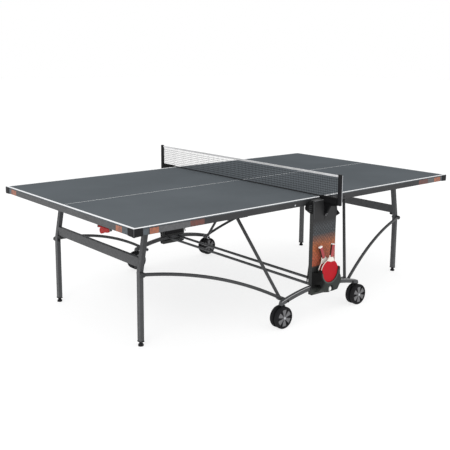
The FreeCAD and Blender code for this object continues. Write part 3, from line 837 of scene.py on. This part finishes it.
def net_fittings():
    """Capped posts with a bright zinc edge strip and the gussets' pale edges, both painted highlights."""
    post_low, post_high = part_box("net_posts")
    black, bright, ribs = bmesh.new(), bmesh.new(), bmesh.new()
    inner, outer = net_high.y, post_high.y
    for s in (-1, 1):
        def span(x0, x1, y0, y1, z0, z1):
            ys = sorted((s * y0, s * y1))
            return (x0, ys[0], z0), (x1, ys[1], z1)

        add_block(black, *span(-0.008, 0.008, inner, outer - 0.0012, post_low.z, post_high.z), 0.003, 3)
        # A thin zinc strip on one half of each post's outer end face, as painted highlight.
        add_block(bright, *span(0.0036, 0.0076, outer - 0.0016, outer, post_low.z + 0.004,
                                post_high.z - 0.004), 0.0006, 2)
        # Pale rods along the gussets' lower edges, as painted highlight.
        for x in (-0.005, 0.005):
            add_rod(ribs, (x, s * 0.8082, 0.6456), (x, s * 0.8190, 0.6643), 0.0018, 8)
    made = piece("net_post_covers", black, "carriage", PLASTIC, 40)
    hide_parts("net_posts")
    piece("net_post_highlight_strips", bright, "carriage", ZINC, 40)
    piece("gusset_edge_highlights", ribs, "carriage", SPOKE, 40)


# ---- casters ---------------------------------------------------------------

def caster(corner, sx, sy):
    """Twin-disc wheel: rounded treads, a recessed face, six wedge spokes and a bright cap."""
    low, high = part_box(f"wheel_{corner}")
    centre = (low + high) / 2
    radius = high.z - centre.z
    tread, spokes, cap = bmesh.new(), bmesh.new(), bmesh.new()
    for flip in (1, -1):
        axis = Vector((0, flip, 0))
        profile = [(0.0052, 0.0062), (radius - 0.007, 0.0062), (radius - 0.0025, 0.0075),
                   (radius - 0.0004, 0.0115), (radius, 0.018), (radius - 0.0006, 0.0265),
                   (radius - 0.003, 0.0305), (radius - 0.0065, 0.0325), (radius - 0.013, 0.0330),
                   (radius - 0.015, 0.0320), (radius - 0.016, 0.0255), (0.0052, 0.0255)]
        add_turned(tread, profile, centre, axis, 64)
        for step in range(6):
            middle = math.radians(60 * step + 30)
            reach = radius - 0.0165
            wedge = [(0.010, -24)] + [(reach, a) for a in (-17.5, -9, 0, 9, 17.5)] + [(0.010, 24)]
            outline = [(r * math.cos(middle + math.radians(a)), r * math.sin(middle + math.radians(a)))
                       for r, a in wedge]
            add_plate(spokes, outline, 0.0250, 0.0305,
                      lambda u, v, w: centre + Vector((u, 0, v)) + axis * w)
        hub = [(0.0053, 0.0252), (0.0135, 0.0252), (0.0135, 0.0320), (0.0125, 0.0332), (0.0053, 0.0336)]
        add_turned(spokes, hub, centre, axis, 32)
        add_turned(cap, [(0.00001, 0.0345), (0.0060, 0.0345), (0.0078, 0.0325), (0.0078, 0.0270),
                         (0.00001, 0.0270)], centre, axis, 24)
    body = f"wheel_{corner}"
    made = piece(f"tread_{corner}", tread, body, TYRE, 30)
    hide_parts(f"wheel_{corner}")
    cover = piece(f"spokes_{corner}", spokes, body, SPOKE, 30)
    ease = cover.modifiers.new("ease", "BEVEL")
    ease.width = 0.0008
    ease.segments = 2
    ease.angle_limit = math.radians(40)
    piece(f"hub_cap_{corner}", cap, body, ZINC, 40)


# ---- rackets and ball ------------------------------------------------------

def racket(place, lean):
    """Plywood blade with two rubbers and a flared grip, handle up and leaning."""
    low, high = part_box(f"racket_{place}_blade")
    centre = (low + high) / 2
    turn = math.radians(lean)
    body = f"racket_{place}"

    def at(u, v, w):
        along = Vector((math.sin(turn), 0, math.cos(turn)))
        across = Vector((math.cos(turn), 0, -math.sin(turn)))
        return centre + across * u + along * v + Vector((0, w, 0))

    wood, front, back = bmesh.new(), bmesh.new(), bmesh.new()
    round_part = arc((0, 0), 0.0748, 115, 425, 56)
    neck = [(0.025, 0.078), (0.0165, 0.089), (0.0135, 0.102),
            (-0.0135, 0.102), (-0.0165, 0.089), (-0.025, 0.078)]
    add_plate(wood, round_part + neck, -0.0030, 0.0030, at)
    rubber = arc((0, 0), 0.0742, 117, 423, 56) + [(0.022, 0.0640), (0.0, 0.0600), (-0.022, 0.0640)]
    add_plate(front, rubber, -0.0050, -0.0031, at)
    add_plate(back, rubber, 0.0031, 0.0050, at)
    made = piece(f"blade_{place}", wood, body, WOOD, 30)
    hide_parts(f"racket_{place}_blade")
    piece(f"red_rubber_{place}", front, body, RED_RUBBER, 30)
    piece(f"dark_rubber_{place}", back, body, DARK_RUBBER, 30)
    grip, cap = bmesh.new(), bmesh.new()
    stations = [(0.092, 0.0118, 0.0062), (0.097, 0.0128, 0.0085), (0.108, 0.0122, 0.0098),
                (0.128, 0.0120, 0.0098), (0.150, 0.0125, 0.0100), (0.163, 0.0129, 0.0104),
                (0.170, 0.0130, 0.0105)]
    for bm, part in ((grip, stations), (cap, [(0.1702, 0.0130, 0.0105), (0.1730, 0.0128, 0.0103),
                                              (0.1742, 0.0112, 0.0088)])):
        rings = []
        for v, half_u, half_w in part:
            ring = []
            for step in range(24):
                angle = 2 * math.pi * step / 24
                c, d = math.cos(angle), math.sin(angle)
                ring.append(bm.verts.new(at(half_u * math.copysign(abs(c) ** 0.6, c), v,
                                            half_w * math.copysign(abs(d) ** 0.6, d))))
            rings.append(ring)
        for here, there in zip(rings, rings[1:]):
            for k in range(24):
                face = bm.faces.new((here[k], here[(k + 1) % 24], there[(k + 1) % 24], there[k]))
                face.material_index = int(bm is grip and k % 12 in (0, 1, 10, 11))
        bm.faces.new(rings[0])
        bm.faces.new(rings[-1][::-1])
    made = piece(f"grip_{place}", grip, body, [GRIP, GRIP_SIDE], 50)
    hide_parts(f"racket_{place}_handle")
    piece(f"grip_cap_{place}", cap, body, WHITE_CAP, 50)


def ball():
    """Ball with its faint moulding seam."""
    low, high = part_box("ball")
    centre, radius = (low + high) / 2, (high.z - low.z) / 2
    bm = bmesh.new()
    bmesh.ops.create_uvsphere(bm, u_segments=48, v_segments=32, radius=radius - 0.0001,
                              matrix=Matrix.Translation(centre))
    seam = [(radius - 0.0006, -0.0004), (radius, -0.0001), (radius, 0.0001), (radius - 0.0006, 0.0004)]
    add_turned(bm, seam, centre, (0.3, 0.2, 1), 64)
    made = piece("ball_shell", bm, "ball", BALL, 60)
    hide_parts("ball")


# ---- the whole object ------------------------------------------------------

dress_nodes()
for side, s in SIDES.items():
    painted_lines(side, s)
    rail_patches(side, s)
    corner_guards(side, s)
    rail_bolts(side, s)
    under_frame(side, s)
    release_handle(side, s)
    knee_bolts(side, s)
    link_caps(side, s)
pivot_bolts()
beam_highlight_strips()
latch_ribs()
for place, sy in (("near", -1), ("far", 1)):
    column_trim(place, sy)
    mouth_rim(place, sy)
netting = net()
net_tape = net_band()
net_fittings()
for corner, (sx, sy) in CORNERS.items():
    caster(corner, sx, sy)
racket("front", 9)
racket("rear", -22)
ball()


# ---- floor, light and camera -----------------------------------------------

def floor():
    """Plain pale floor."""
    bm = bmesh.new()
    bmesh.ops.create_grid(bm, x_segments=1, y_segments=1, size=40)
    paint, tree, bsdf, where = shader("floor")
    cloud = noise(tree, where, 0.8, 2)
    colour = blend(tree, cloud, (0.24, 0.24, 0.24), (0.26, 0.26, 0.26))
    tree.links.new(colour, bsdf.inputs["Base Color"])
    bsdf.inputs["Roughness"].default_value = 0.9
    bsdf.inputs["Emission Color"].default_value = (1, 1, 1, 1)
    bsdf.inputs["Emission Strength"].default_value = 0.78
    mesh = bpy.data.meshes.new("floor")
    bm.to_mesh(mesh)
    bm.free()
    ground = bpy.data.objects.new("floor", mesh)
    mesh.materials.append(paint)
    bpy.context.collection.objects.link(ground)


def lamp(name, place, target, size, power):
    """A large soft lamp aimed at a point."""
    light = bpy.data.lights.new(name, "AREA")
    light.shape = "DISK"
    light.size = size
    light.energy = power
    holder = bpy.data.objects.new(name, light)
    holder.location = place
    holder.rotation_euler = (Vector(target) - Vector(place)).to_track_quat("-Z", "Y").to_euler()
    bpy.context.collection.objects.link(holder)


def studio():
    """White surround with a soft key from the left and a weak fill from the right."""
    world = bpy.data.worlds.new("studio")
    world.use_nodes = True
    world.node_tree.nodes["Background"].inputs["Color"].default_value = (1, 1, 1, 1)
    world.node_tree.nodes["Background"].inputs["Strength"].default_value = 1.0
    bpy.context.scene.world = world
    bpy.context.scene.view_settings.view_transform = "Standard"
    lamp("key", (-6.5, -3.5, 5.5), (-0.1, 0, 0.5), 4.0, 210)
    lamp("fill", (2.5, -4.5, 3.0), (0.2, 0, 0.5), 3.0, 15)


def camera():
    """Near the table's left front, a little above the top."""
    eye = bpy.data.cameras.new("camera")
    eye.sensor_width = 36
    eye.lens = 57.79
    eye.shift_y = -0.10
    holder = bpy.data.objects.new("camera", eye)
    yaw, pitch, roll = 0.7039, 0.1706, 0.0072
    forward = Vector((math.sin(yaw) * math.cos(pitch), math.cos(yaw) * math.cos(pitch), -math.sin(pitch)))
    right = forward.cross(Vector((0, 0, 1))).normalized()
    up = right.cross(forward)
    level = right * math.cos(roll) + up * math.sin(roll)
    tall = up * math.cos(roll) - right * math.sin(roll)
    turn = Matrix((level, tall, -forward)).transposed()
    holder.matrix_world = Matrix.Translation((-3.2899, -3.7234, 1.6154)) @ turn.to_4x4()
    bpy.context.collection.objects.link(holder)
    bpy.context.scene.camera = holder


floor()
studio()
camera()
